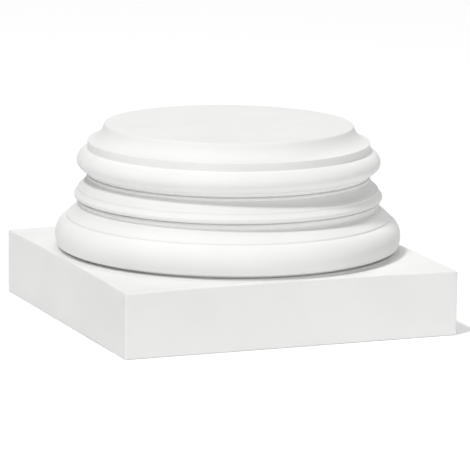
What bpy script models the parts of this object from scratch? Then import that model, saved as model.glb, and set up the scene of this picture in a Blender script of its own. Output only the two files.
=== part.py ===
"""Column base: a square plinth and a turned base of two tori, moulded as one piece.

Metres, +Z up. The origin is the centre of the underside, and the plinth's sides run along X and Y.
"""
import math

import bpy
from mathutils import Vector

MM = 0.001

# Plinth: its height is taken at the middle of a side, and its top falls a little towards the corners
PLINTH_WIDTH = 330.0 * MM
PLINTH_HEIGHT = 61.8 * MM
PLINTH_EDGE_RADIUS = 1.2 * MM
CORNER_FALL = 1.6 * MM

# Heights of the turned part's members, stacked up from the plinth's top
FOOT_FLARE_HEIGHT = 2.5 * MM
FOOT_GROOVE_HEIGHT = 1.7 * MM
FOOT_HEEL_HEIGHT = 2.3 * MM
FOOT_RIM_HEIGHT = 1.9 * MM
LOWER_TORUS_BELLY = 7.3 * MM
LOWER_TORUS_SHOULDER = 16.75 * MM
LOWER_SLOPE_HEIGHT = 9.65 * MM
LOWER_WALL_HEIGHT = 3.1 * MM
LOWER_FILLET_HEIGHT = 1.9 * MM
RING_FOOT_ROUND = 1.6 * MM
RING_SIDE_HEIGHT = 2.8 * MM
RING_SHOULDER = 3.85 * MM
UPPER_SLOPE_HEIGHT = 10.35 * MM
UPPER_FILLET_HEIGHT = 1.8 * MM
UPPER_RIM_HEIGHT = 2.5 * MM
UPPER_TORUS_BELLY = 9.4 * MM
UPPER_TORUS_SHOULDER = 11.5 * MM
BAND_HEIGHT = 7.6 * MM
CAVETTO_HEIGHT = 14.8 * MM
LIP_HEIGHT = 1.0 * MM

# A low riser where each slope meets the swell below it, and a fine groove under the ring and the upper torus
CREASE_HEIGHT = 1.7 * MM
CREASE_RUN = 0.5 * MM
GROOVE_HEIGHT = 1.6 * MM
GROOVE_DEPTH = 2.4 * MM

# Radii of the turned part's members
FOOT_FLARE_RADIUS = 160.0 * MM
FOOT_GROOVE_RADIUS = 154.0 * MM
FOOT_HEEL_RADIUS = 158.6 * MM
FOOT_RIM_RADIUS = 162.9 * MM
LOWER_TORUS_FOOT_RADIUS = 162.7 * MM
LOWER_TORUS_RADIUS = 164.5 * MM
LOWER_SHOULDER_RADIUS = 154.0 * MM
LOWER_WALL_RADIUS = 142.3 * MM
LOWER_FILLET_RADIUS = 144.3 * MM
RING_FOOT_RADIUS = 145.0 * MM
RING_RADIUS = 146.3 * MM
RING_SHOULDER_RADIUS = 143.9 * MM
UPPER_SLOPE_RADIUS = 133.7 * MM
UPPER_FILLET_RADIUS = 134.8 * MM
UPPER_TORUS_RADIUS = 144.4 * MM
BAND_RADIUS = 134.2 * MM
SEAT_RADIUS = 118.5 * MM

# Hollow of each concave member, as the depth of its arc under its chord, and the radii of the bends
CAVETTO_HOLLOW = 3.2 * MM
UPPER_SLOPE_HOLLOW = 0.4 * MM
LOWER_WALL_BEND = 4.0 * MM
RING_BEND = 1.0 * MM

# How far round a full quarter each swell runs above and below its belly, in degrees
LOWER_SHOULDER_TURN = 74.0
LOWER_BELLY_TURN = 36.0
RING_FOOT_TURN = 60.0
UPPER_SHOULDER_TURN = 72.0
UPPER_BELLY_TURN = 70.0

# The flare at the foot runs out this far inside the plinth's sides and sinks this far into its top
FLARE_MARGIN = 2.0 * MM
FLARE_SINK = 0.3 * MM
LIP_EDGE_RADIUS = 0.8 * MM
EMBED_DEPTH = 8.0 * MM

ROUND_STEPS = 72
ARC_STEPS = 6
SMALL_ARC_STEPS = 3
EDGE_STEPS = 1
SMOOTH_ANGLE = math.radians(28.0)


def sagging_arc(start, end, rise, steps):
    """Points from start to end on the arc whose middle lies rise outside the chord (inside if below 0)."""
    start, end = Vector(start), Vector(end)
    chord = end - start
    outward = Vector((-chord.y, chord.x)).normalized()
    if outward.x < 0:
        outward = -outward
    half = chord.length / 2
    if abs(rise) < 1e-9:
        return [tuple(start), tuple(end)]
    radius = (half * half + rise * rise) / (2 * rise)
    centre = (start + end) / 2 + outward * (rise - radius)
    first = (start - centre).normalized()
    sweep = 2 * math.asin(min(1.0, half / abs(radius)))
    turn = sweep if first.x * (end - centre).y - first.y * (end - centre).x > 0 else -sweep
    points = []
    for i in range(steps + 1):
        angle = turn * i / steps
        c, s = math.cos(angle), math.sin(angle)
        points.append((centre.x + abs(radius) * (first.x * c - first.y * s),
                       centre.y + abs(radius) * (first.x * s + first.y * c)))
    return points


def torus_quarter(belly, neck, turn_degrees, steps):
    """Points from the belly, where the side is upright, to the neck, on part of an ellipse's quarter."""
    turn = math.radians(turn_degrees)
    across = (belly[0] - neck[0]) / (1 - math.cos(turn))
    along = (neck[1] - belly[1]) / math.sin(turn)
    points = []
    for i in range(steps + 1):
        angle = turn * i / steps
        points.append((belly[0] - across * (1 - math.cos(angle)), belly[1] + along * math.sin(angle)))
    return points


def rounded_corner(before, corner, after, radius, steps):
    """Points of the arc that rounds off the corner between two straight runs."""
    before, corner, after = Vector(before), Vector(corner), Vector(after)
    back, ahead = (before - corner).normalized(), (after - corner).normalized()
    cut = radius / math.tan(back.angle(ahead) / 2)
    first, last = corner + back * cut, corner + ahead * cut
    return sagging_arc(first, last, -radius * (1 - math.sin(back.angle(ahead) / 2)), steps)


def turned_profile():
    """Outer side of the turned part, top to bottom, as (radius, height above the plinth's top)."""
    z_groove = FOOT_FLARE_HEIGHT
    z_heel = z_groove + FOOT_GROOVE_HEIGHT
    z_rim = z_heel + FOOT_HEEL_HEIGHT
    z_lower_foot = z_rim + FOOT_RIM_HEIGHT
    z_lower_belly = z_lower_foot + LOWER_TORUS_BELLY
    z_lower_shoulder = z_lower_belly + LOWER_TORUS_SHOULDER
    z_lower_slope = z_lower_shoulder + CREASE_HEIGHT
    z_lower_wall = z_lower_slope + LOWER_SLOPE_HEIGHT
    z_lower_fillet = z_lower_wall + LOWER_WALL_HEIGHT
    z_ring_groove = z_lower_fillet + LOWER_FILLET_HEIGHT
    z_ring_foot = z_ring_groove + GROOVE_HEIGHT
    z_ring_side = z_ring_foot + RING_FOOT_ROUND
    z_ring_edge = z_ring_side + RING_SIDE_HEIGHT
    z_ring_shoulder = z_ring_edge + RING_SHOULDER
    z_upper_slope = z_ring_shoulder + CREASE_HEIGHT
    z_upper_fillet = z_upper_slope + UPPER_SLOPE_HEIGHT
    z_upper_groove = z_upper_fillet + UPPER_FILLET_HEIGHT
    z_upper_rim = z_upper_groove + GROOVE_HEIGHT
    z_upper_foot = z_upper_rim + UPPER_RIM_HEIGHT
    z_upper_belly = z_upper_foot + UPPER_TORUS_BELLY
    z_band_foot = z_upper_belly + UPPER_TORUS_SHOULDER
    z_band_top = z_band_foot + BAND_HEIGHT
    z_lip_foot = z_band_top + CAVETTO_HEIGHT
    z_seat = z_lip_foot + LIP_HEIGHT

    edge = LIP_EDGE_RADIUS
    points = [(SEAT_RADIUS - edge, z_seat)]
    points += sagging_arc((SEAT_RADIUS - edge, z_seat), (SEAT_RADIUS, z_seat - edge),
                          edge * (1 - math.sqrt(0.5)), SMALL_ARC_STEPS)[1:]
    points += sagging_arc((SEAT_RADIUS, z_lip_foot), (BAND_RADIUS, z_band_top), -CAVETTO_HOLLOW, ARC_STEPS)

    belly = (UPPER_TORUS_RADIUS, z_upper_belly)
    points += torus_quarter(belly, (BAND_RADIUS, z_band_foot), UPPER_SHOULDER_TURN, ARC_STEPS)[::-1]
    points += torus_quarter(belly, (UPPER_FILLET_RADIUS, z_upper_foot), UPPER_BELLY_TURN, ARC_STEPS)[1:]
    points += groove(UPPER_FILLET_RADIUS, UPPER_FILLET_RADIUS, z_upper_rim)
    points += [(UPPER_FILLET_RADIUS, z_upper_fillet)]
    points += sagging_arc((UPPER_SLOPE_RADIUS, z_upper_fillet), (RING_SHOULDER_RADIUS - CREASE_RUN, z_upper_slope),
                          -UPPER_SLOPE_HOLLOW, SMALL_ARC_STEPS)

    shoulder, edge, side = ((RING_SHOULDER_RADIUS, z_ring_shoulder), (RING_RADIUS, z_ring_edge),
                            (RING_RADIUS, z_ring_side))
    points += [shoulder] + rounded_corner(shoulder, edge, side, RING_BEND, EDGE_STEPS)
    points += torus_quarter(side, (RING_FOOT_RADIUS, z_ring_foot), RING_FOOT_TURN, SMALL_ARC_STEPS)[:-1]
    points += groove(RING_FOOT_RADIUS, LOWER_FILLET_RADIUS, z_ring_foot)
    points += [(LOWER_FILLET_RADIUS, z_lower_fillet)]
    slope_end = (LOWER_SHOULDER_RADIUS - CREASE_RUN, z_lower_slope)
    points += rounded_corner((LOWER_WALL_RADIUS, z_lower_fillet), (LOWER_WALL_RADIUS, z_lower_wall), slope_end,
                             LOWER_WALL_BEND, SMALL_ARC_STEPS)
    points += [slope_end]

    belly = (LOWER_TORUS_RADIUS, z_lower_belly)
    points += torus_quarter(belly, (LOWER_SHOULDER_RADIUS, z_lower_shoulder), LOWER_SHOULDER_TURN,
                            ARC_STEPS)[::-1]
    points += torus_quarter(belly, (LOWER_TORUS_FOOT_RADIUS, z_lower_foot), LOWER_BELLY_TURN, SMALL_ARC_STEPS)[1:]
    points += [(FOOT_RIM_RADIUS, z_rim), (FOOT_HEEL_RADIUS, z_heel)]
    points += [(FOOT_GROOVE_RADIUS, z_heel), (FOOT_GROOVE_RADIUS, z_groove)]
    points += [(FOOT_FLARE_RADIUS, z_groove), (flare_end_radius(), -FLARE_SINK)]
    points += [(flare_end_radius(), -EMBED_DEPTH)]
    return points


def flare_end_radius():
    return PLINTH_WIDTH / 2 - FLARE_MARGIN


def groove(rim_radius, wall_radius, height):
    """A fine V groove from a rim's foot at a height, cut in behind the wall below it."""
    return [(rim_radius, height), (wall_radius - GROOVE_DEPTH, height - GROOVE_HEIGHT / 2),
            (wall_radius, height - GROOVE_HEIGHT)]


def white_moulded_material():
    material = bpy.data.materials.new("primed white moulded foam")
    material.use_nodes = True
    shader = material.node_tree.nodes["Principled BSDF"]
    shader.inputs["Base Color"].default_value = (0.86, 0.86, 0.85, 1.0)
    shader.inputs["Roughness"].default_value = 0.55
    shader.inputs["Metallic"].default_value = 0.0
    return material


def make_turned(name, profile, collection):
    """A closed solid made by turning a profile, which runs down its outer side, once round Z."""
    points = [(0.0, profile[0][1])] + profile + [(0.0, profile[-1][1])]
    mesh = bpy.data.meshes.new(name)
    mesh.from_pydata([(radius, 0.0, height) for radius, height in points],
                     [(i, i + 1) for i in range(len(points) - 1)], [])
    turned = bpy.data.objects.new(name, mesh)
    collection.objects.link(turned)
    screw = turned.modifiers.new("turning", "SCREW")
    screw.axis = "Z"
    screw.angle = 2 * math.pi
    screw.steps = ROUND_STEPS
    screw.render_steps = ROUND_STEPS
    screw.use_merge_vertices = True
    screw.merge_threshold = 0.00001
    turned.hide_render = True
    turned.display_type = "WIRE"
    return turned


def make_falling_top(collection):
    """The turned shape that the plinth is cut to: level round the mouldings, lower towards the corners."""
    side = PLINTH_WIDTH / 2
    start = flare_end_radius()
    fall = CORNER_FALL / (side * math.sqrt(2) - side)
    reach = PLINTH_WIDTH
    profile = [(start, PLINTH_HEIGHT), (reach, PLINTH_HEIGHT - fall * (reach - start)), (reach, -EMBED_DEPTH)]
    return make_turned("falling_top", profile, collection)


def make_plinth(collection, helpers):
    """Square slab with softly rounded arrises, its underside at z = 0."""
    bpy.ops.mesh.primitive_cube_add(size=1.0, location=(0.0, 0.0, PLINTH_HEIGHT / 2))
    plinth = bpy.context.object
    plinth.name = "column_base"
    plinth.scale = (PLINTH_WIDTH, PLINTH_WIDTH, PLINTH_HEIGHT)
    bpy.ops.object.transform_apply(location=True, rotation=False, scale=True)
    add_boolean(plinth, "cut top", "INTERSECT", make_falling_top(helpers))
    arris = plinth.modifiers.new("arris", "BEVEL")
    arris.width = PLINTH_EDGE_RADIUS
    arris.segments = 2
    arris.limit_method = "ANGLE"
    move_to(plinth, collection)
    return plinth


def make_turned_part(collection):
    """The mouldings as one turned solid, standing in the plinth by EMBED_DEPTH."""
    profile = [(radius, PLINTH_HEIGHT + height) for radius, height in turned_profile()]
    return make_turned("turned_part", profile, collection)


def add_boolean(target, name, operation, other):
    boolean = target.modifiers.new(name, "BOOLEAN")
    boolean.operation = operation
    boolean.solver = "EXACT"
    boolean.object = other


def move_to(obj, collection):
    for other in list(obj.users_collection):
        other.objects.unlink(obj)
    collection.objects.link(obj)


def new_collection(name):
    collection = bpy.data.collections.new(name)
    bpy.context.scene.collection.children.link(collection)
    return collection


def main():
    for obj in list(bpy.data.objects):
        bpy.data.objects.remove(obj, do_unlink=True)

    parts = new_collection("column base")
    helpers = new_collection("shapes joined into the parts")

    base = make_plinth(parts, helpers)
    add_boolean(base, "join turned part", "UNION", make_turned_part(helpers))

    base.data.materials.append(white_moulded_material())
    base.data.shade_smooth()
    base.data.set_sharp_from_angle(angle=SMOOTH_ANGLE)


main()
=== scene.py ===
"""Column base in white primed moulded foam: the fine surface of plinth and turned mouldings."""
import math

import bmesh
import bpy
import numpy as np
from mathutils import Matrix, Vector


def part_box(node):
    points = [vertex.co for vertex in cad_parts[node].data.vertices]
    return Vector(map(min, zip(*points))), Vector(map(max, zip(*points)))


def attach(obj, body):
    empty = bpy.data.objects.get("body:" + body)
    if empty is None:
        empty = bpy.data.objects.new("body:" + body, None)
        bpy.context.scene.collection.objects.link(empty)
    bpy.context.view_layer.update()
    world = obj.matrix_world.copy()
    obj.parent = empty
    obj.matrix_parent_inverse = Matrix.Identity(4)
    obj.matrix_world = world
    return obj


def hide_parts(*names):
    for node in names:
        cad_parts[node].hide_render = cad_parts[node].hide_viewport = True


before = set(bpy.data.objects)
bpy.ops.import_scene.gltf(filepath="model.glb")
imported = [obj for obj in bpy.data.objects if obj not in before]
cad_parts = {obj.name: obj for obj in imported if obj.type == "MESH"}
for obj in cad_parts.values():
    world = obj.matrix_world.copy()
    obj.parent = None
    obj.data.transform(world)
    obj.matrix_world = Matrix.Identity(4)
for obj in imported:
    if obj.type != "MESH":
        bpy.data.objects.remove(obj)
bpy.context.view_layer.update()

MM = 0.001


# Plinth, from the frame's own box, with the radii of its eased edges and upright corners
BASE_LOW, BASE_HIGH = (Vector(corner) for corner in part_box("column_base"))
PLINTH_HALF = (BASE_HIGH.x - BASE_LOW.x) / 2
SEAT_HEIGHT = BASE_HIGH.z
TURNED_HEIGHT = 121.7 * MM
PLINTH_HEIGHT = SEAT_HEIGHT - TURNED_HEIGHT
ARRIS_RADIUS = 1.2 * MM
FOOT_ARRIS_RADIUS = 0.7 * MM
CORNER_RADIUS = 1.6 * MM

# Its top stands EDGE_RISE over PLINTH_HEIGHT round the mouldings, and falls to the corners
EDGE_RISE = 1.2 * MM
CORNER_FALL = 1.6 * MM

# Heights of the turned members above PLINTH_HEIGHT, from the foot up
FOOT_FLARE_Z = 3.3 * MM
FOOT_HEEL_Z = 5.0 * MM
FOOT_RIM_Z = 7.3 * MM
LOWER_TORUS_FOOT_Z = 9.2 * MM
LOWER_BELLY_Z = 16.5 * MM
LOWER_SHOULDER_Z = 34.1 * MM
LOWER_COVE_Z = 44.6 * MM
LOWER_FILLET_Z = 48.4 * MM
RING_FOOT_Z = 51.8 * MM
RING_BELLY_Z = 55.6 * MM
RING_TOP_Z = 60.3 * MM
UPPER_SLOPE_Z = 70.9 * MM
UPPER_FILLET_Z = 71.5 * MM
UPPER_RIM_Z = 74.9 * MM
UPPER_TORUS_FOOT_Z = 77.4 * MM
UPPER_BELLY_Z = 86.8 * MM
BAND_FOOT_Z = 98.3 * MM
BAND_TOP_Z = 105.9 * MM
LIP_FOOT_Z = 120.7 * MM

# Radii of the turned members, from the foot up
FOOT_SPREAD_R = 163.0 * MM
FOOT_FLARE_R = 160.0 * MM
FOOT_GROOVE_R = 154.0 * MM
FOOT_HEEL_R = 158.6 * MM
FOOT_RIM_R = 163.1 * MM
LOWER_TORUS_FOOT_R = 163.3 * MM
LOWER_TORUS_R = 164.5 * MM
LOWER_SHOULDER_R = 154.0 * MM
LOWER_WALL_R = 142.3 * MM
LOWER_FILLET_R = 144.3 * MM
RING_FOOT_R = 145.0 * MM
RING_BELLY_R = 146.5 * MM
RING_TOP_R = 143.1 * MM
UPPER_SLOPE_R = 133.7 * MM
UPPER_FILLET_R = 134.8 * MM
UPPER_RIM_R = 134.8 * MM
UPPER_TORUS_R = 144.4 * MM
BAND_R = 134.2 * MM
SEAT_R = 118.5 * MM

# How deep the hollow runs lie inside their chords
CAVETTO_HOLLOW = 3.2 * MM
SLOPE_HOLLOW = 0.4 * MM
FOOT_FLARE_HOLLOW = 0.15 * MM

# Radii of the eased bends, height of the round under the ring, and bevel of the seat's lip
LOWER_COVE_BEND = 4.0 * MM
RING_BEND = 0.6 * MM
RING_FOOT_ROUND = 1.6 * MM
LIP_BEVEL = 0.6 * MM

# How far round its quarter of an ellipse each swell runs
LOWER_SHOULDER_TURN = math.radians(74)
LOWER_FOOT_TURN = math.radians(24)
UPPER_SHOULDER_TURN = math.radians(72)
UPPER_FOOT_TURN = math.radians(70)
RING_FOOT_TURN = math.radians(60)

# Narrow grooves under the rims, and small risers where a slope meets the swell below it
GROOVE_HEIGHT = 1.6 * MM
GROOVE_DEPTH = 2.4 * MM
RISER_DROP = 1.8 * MM
RISER_RUN = 0.2 * MM

# Soft moulded edges: how far the outline's corners are eased, how many times that far the easing
# reaches, and the spacing it is worked out at
EDGE_SOFTNESS = 0.3 * MM
EASING_REACH = 4
EASING_STEP = 0.05 * MM

# Longest step and sharpest bend between the points that are kept of the outline
LONGEST_STEP = 3.0 * MM
SHARPEST_BEND = math.radians(9.0)

# Faces round the whole base, round an upright corner and over an eased edge
ROUND_SEGMENTS = 256
CORNER_SEGMENTS = 8
ARRIS_SEGMENTS = 6

# Loops across the plinth's top, as shares of the way from the mouldings' foot to its edge, and the
# distance at which a loop holds each eased edge
TOP_SHARES = (0.1, 0.25, 0.5, 0.75, 1.0)
EDGE_HOLD = 0.25 * MM

# Merge distances for the turned skin's seam and for its joint with the plinth, and the angle from
# which an edge shades sharp
SEAM_MERGE = 0.005 * MM
JOINT_MERGE = 0.01 * MM
SHARP_ANGLE = math.radians(40)

# Primer: patches of tint and of sheen, and the spacing and depth of its fine sprayed peel
TINT_PATCH = 60.0 * MM
SHEEN_PATCH = 18.0 * MM
PEEL_SPACING = 1.6 * MM
PEEL_DEPTH = 0.03 * MM

# Studio, in metres: half the floor's side, the gap that keeps it clear of the underside, and how
# closely its faint mottle lies
FLOOR_HALF = 12.0
FLOOR_GAP = 0.2 * MM
FLOOR_PATCHES_PER_METRE = 3.0

# Softboxes: azimuth from +X towards +Y and elevation in degrees, side in metres, power in watts
LIGHT_DISTANCE = 12.0
SOFTBOXES = {
    "key": (-154, 63, 1.5, 795.0),
    "low front left": (-120, 8, 3.0, 57.0),
    "low front": (-90, 8, 3.0, 231.0),
    "back right": (45, 28, 3.0, 243.0),
    "overhead": (0, 88, 5.0, 340.0),
}
SURROUND_STRENGTH = 0.27

# The photograph's camera: where it stands round the base, and where the centre of the mouldings'
# foot falls in the frame
FRAME_PX = 470
FOCAL_PX = 3716.0
CAMERA_YAW = math.radians(22.19)
CAMERA_PITCH = math.radians(10.67)
CAMERA_ROLL = math.radians(0.71)
CAMERA_DISTANCE = 3.5485
TARGET_PX = (227.5, 249.6)
SENSOR_MM = 36.0
CLIP_END = 100.0


def hollow(start, end, depth, steps=24):
    """Points from start to end on a curve that lies depth inside its chord."""
    start, end = Vector(start), Vector(end)
    chord = end - start
    inward = Vector((chord.y, -chord.x)).normalized()
    inward = inward if inward.x < 0 else -inward
    shares = (i / steps for i in range(steps + 1))
    return [tuple(start + chord * u + inward * (4 * depth * u * (1 - u))) for u in shares]


def eased_corner(before, corner, after, radius, steps=16):
    """Points of the arc of a radius that rounds off a corner between two straight runs."""
    before, corner, after = Vector(before), Vector(corner), Vector(after)
    back, ahead = (before - corner).normalized(), (after - corner).normalized()
    half = back.angle(ahead) / 2
    middle = corner + (back + ahead).normalized() * (radius / math.sin(half))
    first = corner + back * (radius / math.tan(half)) - middle
    last = corner + ahead * (radius / math.tan(half)) - middle
    start = math.atan2(first.y, first.x)
    sweep = math.atan2(first.cross(last), first.dot(last))
    angles = (start + sweep * i / steps for i in range(steps + 1))
    return [(middle.x + radius * math.cos(a), middle.y + radius * math.sin(a)) for a in angles]


def swell(belly, neck, turn, steps=28):
    """Points of part of an ellipse's quarter, from the upright side at the belly to the neck."""
    across = (belly[0] - neck[0]) / (1 - math.cos(turn))
    along = (neck[1] - belly[1]) / math.sin(turn)
    angles = (turn * i / steps for i in range(steps + 1))
    return [(belly[0] - across * (1 - math.cos(a)), belly[1] + along * math.sin(a)) for a in angles]


def groove(radius, top):
    """The bottom and the lower lip of a narrow groove cut in from a radius, starting at top."""
    return [(radius - GROOVE_DEPTH, top - GROOVE_HEIGHT / 2), (radius, top - GROOVE_HEIGHT)]


def turned_outline():
    """The turned part's side from the seat's centre down to the plinth, with sharp corners."""
    half_riser = RISER_DROP / 2
    points = [(0.0, TURNED_HEIGHT), (SEAT_R - LIP_BEVEL, TURNED_HEIGHT)]
    points += hollow((SEAT_R, LIP_FOOT_Z), (BAND_R, BAND_TOP_Z), CAVETTO_HOLLOW)

    belly = (UPPER_TORUS_R, UPPER_BELLY_Z)
    points += swell(belly, (BAND_R, BAND_FOOT_Z), UPPER_SHOULDER_TURN)[::-1]
    points += swell(belly, (UPPER_RIM_R, UPPER_TORUS_FOOT_Z), UPPER_FOOT_TURN)[1:]
    points += [(UPPER_RIM_R, UPPER_RIM_Z)]
    points += groove(UPPER_FILLET_R, UPPER_RIM_Z)
    points += [(UPPER_FILLET_R, UPPER_FILLET_Z)]

    slope_foot = (RING_TOP_R - RISER_RUN, RING_TOP_Z + half_riser)
    points += hollow((UPPER_SLOPE_R, UPPER_SLOPE_Z), slope_foot, SLOPE_HOLLOW)
    ring_top = (RING_TOP_R, RING_TOP_Z - half_riser)
    points += [ring_top]
    belly = (RING_BELLY_R, RING_BELLY_Z)
    points += eased_corner(ring_top, belly, (RING_BELLY_R, RING_FOOT_Z), RING_BEND)
    ring_side = (RING_BELLY_R, RING_FOOT_Z + RING_FOOT_ROUND)
    points += swell(ring_side, (RING_FOOT_R, RING_FOOT_Z), RING_FOOT_TURN)
    points += groove(LOWER_FILLET_R, RING_FOOT_Z)
    points += [(LOWER_FILLET_R, LOWER_FILLET_Z)]

    wall_top = (LOWER_WALL_R, LOWER_FILLET_Z)
    slope_foot = (LOWER_SHOULDER_R - RISER_RUN, LOWER_SHOULDER_Z + half_riser)
    points += eased_corner(wall_top, (LOWER_WALL_R, LOWER_COVE_Z), slope_foot, LOWER_COVE_BEND)
    points += [slope_foot]
    belly = (LOWER_TORUS_R, LOWER_BELLY_Z)
    shoulder = (LOWER_SHOULDER_R, LOWER_SHOULDER_Z - half_riser)
    points += swell(belly, shoulder, LOWER_SHOULDER_TURN)[::-1]
    points += swell(belly, (LOWER_TORUS_FOOT_R, LOWER_TORUS_FOOT_Z), LOWER_FOOT_TURN)[1:]

    points += [(FOOT_RIM_R, FOOT_RIM_Z), (FOOT_HEEL_R, FOOT_HEEL_Z)]
    points += [(FOOT_GROOVE_R, FOOT_HEEL_Z), (FOOT_GROOVE_R, FOOT_FLARE_Z)]
    points += hollow((FOOT_FLARE_R, FOOT_FLARE_Z), (FOOT_SPREAD_R, EDGE_RISE), FOOT_FLARE_HOLLOW)
    return np.array(points)


def soften(points):
    """The outline with its corners eased, and points closer together where it bends more."""
    run = np.concatenate([[0], np.cumsum(np.hypot(*np.diff(points, axis=0).T))])
    along = np.linspace(0, run[-1], int(run[-1] / EASING_STEP) + 1)
    dense = np.stack([np.interp(along, run, points[:, k]) for k in (0, 1)], axis=1)

    # A bell-shaped average, with the run turned over past both ends so that they stay in place
    reach = int(EASING_REACH * EDGE_SOFTNESS / EASING_STEP)
    offsets = np.arange(-reach, reach + 1) * EASING_STEP
    weights = np.exp(-0.5 * (offsets / EDGE_SOFTNESS) ** 2)
    weights /= weights.sum()
    before = 2 * dense[0] - dense[reach:0:-1]
    after = 2 * dense[-1] - dense[-2:-reach - 2:-1]
    padded = np.concatenate([before, dense, after])
    eased = np.stack([np.convolve(padded[:, k], weights, mode="valid") for k in (0, 1)], axis=1)

    # Points at even steps of distance and bend taken together
    heading = np.unwrap(np.arctan2(*np.gradient(eased, axis=0).T[::-1]))
    effort = along / LONGEST_STEP + np.cumsum(np.abs(np.gradient(heading))) / SHARPEST_BEND
    marks = np.linspace(effort[0], effort[-1], int(effort[-1] - effort[0]) + 2)
    picked = np.interp(marks, effort, along)
    return np.stack([np.interp(picked, along, eased[:, k]) for k in (0, 1)], axis=1)


def add_node(tree, kind, links=(), **settings):
    """Add a node, set its properties and sockets, and link its inputs to (name, output) pairs."""
    node = tree.nodes.new(kind)
    for name, value in settings.items():
        if hasattr(node, name):
            setattr(node, name, value)
        else:
            node.inputs[name.replace("_", " ")].default_value = value
    for name, source in links:
        tree.links.new(source, node.inputs[name])
    return node


def linear(code):
    """An sRGB hex colour as linear RGBA."""
    channels = [int(code[i:i + 2], 16) / 255 for i in (1, 3, 5)]
    return [c / 12.92 if c <= 0.04045 else ((c + 0.055) / 1.055) ** 2.4 for c in channels] + [1.0]


def primed_foam():
    """Rigid polyurethane foam, moulded and factory primed: clean matt white, faintly uneven in
    tint and sheen, with a barely visible peel."""
    material = bpy.data.materials.new("primed moulded polyurethane foam")
    material.use_nodes = True
    tree = material.node_tree
    shader = tree.nodes["Principled BSDF"]
    shader.inputs["Specular IOR Level"].default_value = 0.2
    place = add_node(tree, "ShaderNodeTexCoord").outputs["Object"]

    mist = add_node(tree, "ShaderNodeTexNoise", [("Vector", place)],
                    Scale=1 / TINT_PATCH, Detail=3.0, Roughness=0.5)
    tint = add_node(tree, "ShaderNodeValToRGB", [("Fac", mist.outputs["Fac"])])
    tint.color_ramp.elements[0].position = 0.35
    tint.color_ramp.elements[0].color = linear("#E6E6E5")
    tint.color_ramp.elements[1].position = 0.65
    tint.color_ramp.elements[1].color = linear("#E9E9E8")
    tree.links.new(tint.outputs["Color"], shader.inputs["Base Color"])

    sheen = add_node(tree, "ShaderNodeTexNoise", [("Vector", place)],
                     Scale=1 / SHEEN_PATCH, Detail=4.0, Roughness=0.6)
    rough = add_node(tree, "ShaderNodeMapRange", [("Value", sheen.outputs["Fac"])],
                     To_Min=0.72, To_Max=0.84)
    tree.links.new(rough.outputs["Result"], shader.inputs["Roughness"])

    peel = add_node(tree, "ShaderNodeTexNoise", [("Vector", place)],
                    Scale=1 / PEEL_SPACING, Detail=2.0, Roughness=0.5)
    bump = add_node(tree, "ShaderNodeBump", [("Height", peel.outputs["Fac"])],
                    Strength=0.2, Distance=PEEL_DEPTH)
    tree.links.new(bump.outputs["Normal"], shader.inputs["Normal"])
    return material


def turning_tree():
    """Node tree that turns a mesh outline once round Z into a closed-up skin."""
    tree = bpy.data.node_groups.new("turned moulding", "GeometryNodeTree")
    sockets = tree.interface
    sockets.new_socket("Outline", in_out="INPUT", socket_type="NodeSocketGeometry")
    sockets.new_socket("Segments", in_out="INPUT", socket_type="NodeSocketInt")
    sockets.new_socket("Finish", in_out="INPUT", socket_type="NodeSocketMaterial")
    sockets.new_socket("Skin", in_out="OUTPUT", socket_type="NodeSocketGeometry")
    given = tree.nodes.new("NodeGroupInput")
    result = tree.nodes.new("NodeGroupOutput")
    outline, segments = given.outputs["Outline"], given.outputs["Segments"]
    finish = given.outputs["Finish"]

    # A grid with a row for each point of the outline, and a column for each step round
    count = add_node(tree, "GeometryNodeAttributeDomainSize", [("Geometry", outline)])
    rows = count.outputs["Point Count"]
    columns = add_node(tree, "ShaderNodeMath", [(0, segments)], operation="ADD")
    columns.inputs[1].default_value = 1.0
    grid = add_node(tree, "GeometryNodeMeshGrid",
                    [("Vertices X", columns.outputs[0]), ("Vertices Y", rows)])

    # Each of its points takes the place of its row's point, turned by its column's share
    index = add_node(tree, "GeometryNodeInputIndex")
    ratio = add_node(tree, "ShaderNodeMath", [(0, index.outputs[0]), (1, rows)],
                     operation="DIVIDE")
    column = add_node(tree, "ShaderNodeMath", [(0, ratio.outputs[0])], operation="FLOOR")
    row = add_node(tree, "ShaderNodeMath", [(0, index.outputs[0]), (1, rows)],
                   operation="MODULO")
    position = add_node(tree, "GeometryNodeInputPosition")
    sample = add_node(tree, "GeometryNodeSampleIndex", data_type="FLOAT_VECTOR")
    tree.links.new(outline, sample.inputs["Geometry"])
    tree.links.new(position.outputs[0], sample.inputs["Value"])
    tree.links.new(row.outputs[0], sample.inputs["Index"])
    share = add_node(tree, "ShaderNodeMath", [(0, column.outputs[0]), (1, segments)],
                     operation="DIVIDE")
    angle = add_node(tree, "ShaderNodeMath", [(0, share.outputs[0])], operation="MULTIPLY")
    angle.inputs[1].default_value = 2 * math.pi
    spun = add_node(tree, "ShaderNodeVectorRotate",
                    [("Vector", sample.outputs["Value"]), ("Angle", angle.outputs[0])],
                    rotation_type="Z_AXIS")
    moved = add_node(tree, "GeometryNodeSetPosition",
                     [("Geometry", grid.outputs["Mesh"]), ("Position", spun.outputs["Vector"])])

    closed = add_node(tree, "GeometryNodeMergeByDistance",
                      [("Geometry", moved.outputs["Geometry"])], Distance=SEAM_MERGE)
    real = add_node(tree, "GeometryNodeRealizeInstances",
                    [("Geometry", closed.outputs["Geometry"])])
    dressed = add_node(tree, "GeometryNodeSetMaterial",
                       [("Geometry", real.outputs["Geometry"]), ("Material", finish)])
    tree.links.new(dressed.outputs["Geometry"], result.inputs["Skin"])
    return tree


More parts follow.
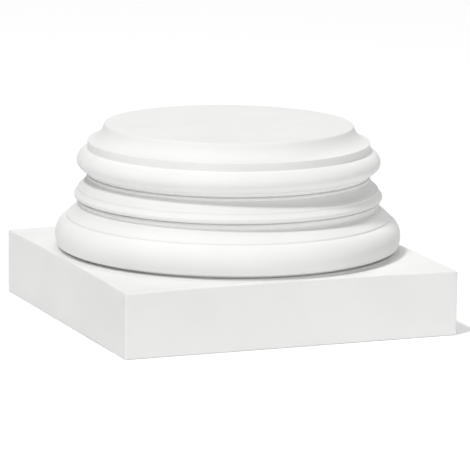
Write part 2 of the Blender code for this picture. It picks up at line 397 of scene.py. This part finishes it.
def turned_skin(finish):
    """The turned mouldings as an open mesh, from the seat's centre to their foot on the plinth."""
    points = soften(turned_outline())
    mesh = bpy.data.meshes.new("moulding outline")
    mesh.from_pydata([(r, 0.0, PLINTH_HEIGHT + z) for r, z in points.tolist()],
                     [(i, i + 1) for i in range(len(points) - 1)], [])
    source = bpy.data.objects.new("moulding outline", mesh)
    bpy.context.scene.collection.objects.link(source)
    turning = source.modifiers.new("turning", "NODES")
    turning.node_group = turning_tree()
    sockets = {item.name: item.identifier for item in turning.node_group.interface.items_tree}
    turning[sockets["Segments"]] = ROUND_SEGMENTS
    turning[sockets["Finish"]] = finish
    graph = bpy.context.evaluated_depsgraph_get()
    skin = bpy.data.meshes.new_from_object(source.evaluated_get(graph))
    bpy.data.objects.remove(source, do_unlink=True)
    return skin


def top_height(point):
    """Height of the plinth's top at a point: level round the mouldings, lower at the corners."""
    spread = (point.xy.length - PLINTH_HALF) / (PLINTH_HALF * (math.sqrt(2) - 1))
    return PLINTH_HEIGHT + EDGE_RISE - CORNER_FALL * max(0.0, spread)


def on_top(points, drop=0.0):
    """Points moved to lie at drop under the plinth's top."""
    return [Vector((p.x, p.y, top_height(p) - drop)) for p in points]


def square_loop(inset, height):
    """Points round the plinth, drawn in by inset, starting at the middle of the +X side."""
    half = PLINTH_HALF - inset
    radius = CORNER_RADIUS - inset
    side_steps = ROUND_SEGMENTS // 4 - CORNER_SEGMENTS
    reach = half - radius
    bends = [math.pi / 2 * i / CORNER_SEGMENTS for i in range(CORNER_SEGMENTS)]
    points = []
    for quarter in range(4):
        turn = Matrix.Rotation(quarter * math.pi / 2, 3, "Z")
        local = [(half, reach * 2 * i / side_steps) for i in range(side_steps // 2)]
        local += [(reach + radius * math.cos(a), reach + radius * math.sin(a)) for a in bends]
        local += [(reach - reach * 2 * i / side_steps, half) for i in range(side_steps // 2)]
        points += [turn @ Vector((x, y, height)) for x, y in local]
    return points


def round_loop(radius, height):
    """Points round a circle, starting on the +X side."""
    angles = (2 * math.pi * i / ROUND_SEGMENTS for i in range(ROUND_SEGMENTS))
    return [Vector((radius * math.cos(a), radius * math.sin(a), height)) for a in angles]


def between(inner, outer, share):
    """Points at a share of the way from an inner loop to an outer one."""
    return [a.lerp(b, share) for a, b in zip(inner, outer)]


def top_loop(inset, drop):
    """A square loop at drop under the plinth's top."""
    return on_top(square_loop(inset, 0.0), drop)


def plinth_loops():
    """Loops from the mouldings' foot over the plinth's top, down its sides and in under it."""
    bends = [math.pi / 2 * i / ARRIS_SEGMENTS for i in range(ARRIS_SEGMENTS + 1)]
    foot = round_loop(FOOT_SPREAD_R, PLINTH_HEIGHT + EDGE_RISE)
    rim = top_loop(ARRIS_RADIUS + EDGE_HOLD, 0.0)
    loops = [foot]
    loops += [on_top(between(foot, rim, share)) for share in TOP_SHARES]
    loops += [top_loop(ARRIS_RADIUS * (1 - math.sin(a)), ARRIS_RADIUS * (1 - math.cos(a)))
              for a in bends]
    loops.append(top_loop(0.0, ARRIS_RADIUS + EDGE_HOLD))
    loops.append(square_loop(0.0, BASE_LOW.z + FOOT_ARRIS_RADIUS + EDGE_HOLD))
    loops += [square_loop(FOOT_ARRIS_RADIUS * (1 - math.cos(a)),
                          BASE_LOW.z + FOOT_ARRIS_RADIUS * (1 - math.sin(a))) for a in bends]
    loops.append(square_loop(FOOT_ARRIS_RADIUS + EDGE_HOLD, BASE_LOW.z))
    return loops


def add_plinth(work):
    """Add the plinth to a bmesh: faces from loop to loop, and a fan across its underside."""
    loops = [[work.verts.new(p) for p in loop] for loop in plinth_loops()]
    neighbours = [(i, (i + 1) % ROUND_SEGMENTS) for i in range(ROUND_SEGMENTS)]
    for upper, lower in zip(loops, loops[1:]):
        for i, j in neighbours:
            work.faces.new((upper[i], lower[i], lower[j], upper[j]))
    centre = work.verts.new((0.0, 0.0, BASE_LOW.z))
    for i, j in neighbours:
        work.faces.new((loops[-1][i], centre, loops[-1][j]))


def moulded_base(finish):
    """The whole base as one closed skin: turned mouldings, plinth and underside."""
    work = bmesh.new()
    work.from_mesh(turned_skin(finish))
    add_plinth(work)
    bmesh.ops.remove_doubles(work, verts=work.verts[:], dist=JOINT_MERGE)
    bmesh.ops.recalc_face_normals(work, faces=work.faces[:])
    mesh = bpy.data.meshes.new("moulded_column_base")
    work.to_mesh(mesh)
    work.free()
    mesh.materials.clear()
    mesh.materials.append(finish)
    mesh.shade_smooth()
    mesh.set_sharp_from_angle(angle=SHARP_ANGLE)
    piece = bpy.data.objects.new("moulded_column_base", mesh)
    bpy.context.scene.collection.objects.link(piece)
    return piece


def floor_finish():
    """Painted studio floor: matt near-white, faintly mottled."""
    material = bpy.data.materials.new("matt white studio floor")
    material.use_nodes = True
    tree = material.node_tree
    shader = tree.nodes["Principled BSDF"]
    shader.inputs["Roughness"].default_value = 0.9
    shader.inputs["Specular IOR Level"].default_value = 0.1
    place = add_node(tree, "ShaderNodeTexCoord").outputs["Object"]
    mottle = add_node(tree, "ShaderNodeTexNoise", [("Vector", place)],
                      Scale=FLOOR_PATCHES_PER_METRE, Detail=2.0)
    tint = add_node(tree, "ShaderNodeValToRGB", [("Fac", mottle.outputs["Fac"])])
    tint.color_ramp.elements[0].color = linear("#FDFDFD")
    tint.color_ramp.elements[1].color = linear("#FEFEFE")
    tree.links.new(tint.outputs["Color"], shader.inputs["Base Color"])
    return material


def studio_floor():
    """A wide level sheet under the base."""
    corners = [(x * FLOOR_HALF, y * FLOOR_HALF, 0) for x, y in ((-1, -1), (1, -1), (1, 1), (-1, 1))]
    mesh = bpy.data.meshes.new("studio_floor")
    mesh.from_pydata(corners, [], [(0, 1, 2, 3)])
    mesh.materials.append(floor_finish())
    floor = bpy.data.objects.new("studio_floor", mesh)
    floor.location.z = BASE_LOW.z - FLOOR_GAP
    bpy.context.scene.collection.objects.link(floor)


def soft_light(name, azimuth, elevation, size, power):
    """A square softbox aimed at the middle of the base."""
    data = bpy.data.lights.new(name, "AREA")
    data.shape = "SQUARE"
    data.size = size
    data.energy = power
    light = bpy.data.objects.new(name, data)
    a, e = math.radians(azimuth), math.radians(elevation)
    aim = Vector((math.cos(a) * math.cos(e), math.sin(a) * math.cos(e), math.sin(e)))
    light.location = Vector((0, 0, SEAT_HEIGHT / 2)) + aim * LIGHT_DISTANCE
    light.rotation_euler = aim.to_track_quat("Z", "Y").to_euler()
    bpy.context.scene.collection.objects.link(light)


def studio_light():
    """A key from high at the left, low fill from the front, light from behind the right and from
    overhead, and an even white surround."""
    world = bpy.data.worlds.new("studio")
    world.use_nodes = True
    surround = world.node_tree.nodes["Background"]
    surround.inputs["Color"].default_value = (1.0, 1.0, 1.0, 1.0)
    surround.inputs["Strength"].default_value = SURROUND_STRENGTH
    bpy.context.scene.world = world
    for name, settings in SOFTBOXES.items():
        soft_light(name, *settings)


def photo_camera():
    """The camera of the photograph, looking slightly down past the left front corner."""
    yaw = Matrix.Rotation(CAMERA_YAW, 3, "Z")
    upright = Matrix(((1, 0, 0), (0, 0, -1), (0, 1, 0)))
    pitch = Matrix.Rotation(CAMERA_PITCH, 3, "X")
    roll = Matrix.Rotation(CAMERA_ROLL, 3, "Z")
    to_lens = roll @ pitch @ upright @ yaw
    across, down = ((value - FRAME_PX / 2) / FOCAL_PX for value in TARGET_PX)
    seen = Vector((across, down, 1.0)) * CAMERA_DISTANCE
    target = Vector((0, 0, PLINTH_HEIGHT))
    place = target - to_lens.transposed() @ seen
    data = bpy.data.cameras.new("photo camera")
    data.sensor_width = SENSOR_MM
    data.lens = FOCAL_PX * SENSOR_MM / FRAME_PX
    data.clip_end = CLIP_END
    camera = bpy.data.objects.new("photo camera", data)
    flip = Matrix(((1, 0, 0), (0, -1, 0), (0, 0, -1)))
    camera.matrix_world = Matrix.Translation(place) @ (flip @ to_lens).transposed().to_4x4()
    bpy.context.scene.collection.objects.link(camera)
    bpy.context.scene.camera = camera


photo_camera()
studio_floor()
studio_light()
bpy.context.scene.view_settings.view_transform = "Standard"

base = moulded_base(primed_foam())
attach(base, "root")
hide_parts("column_base")
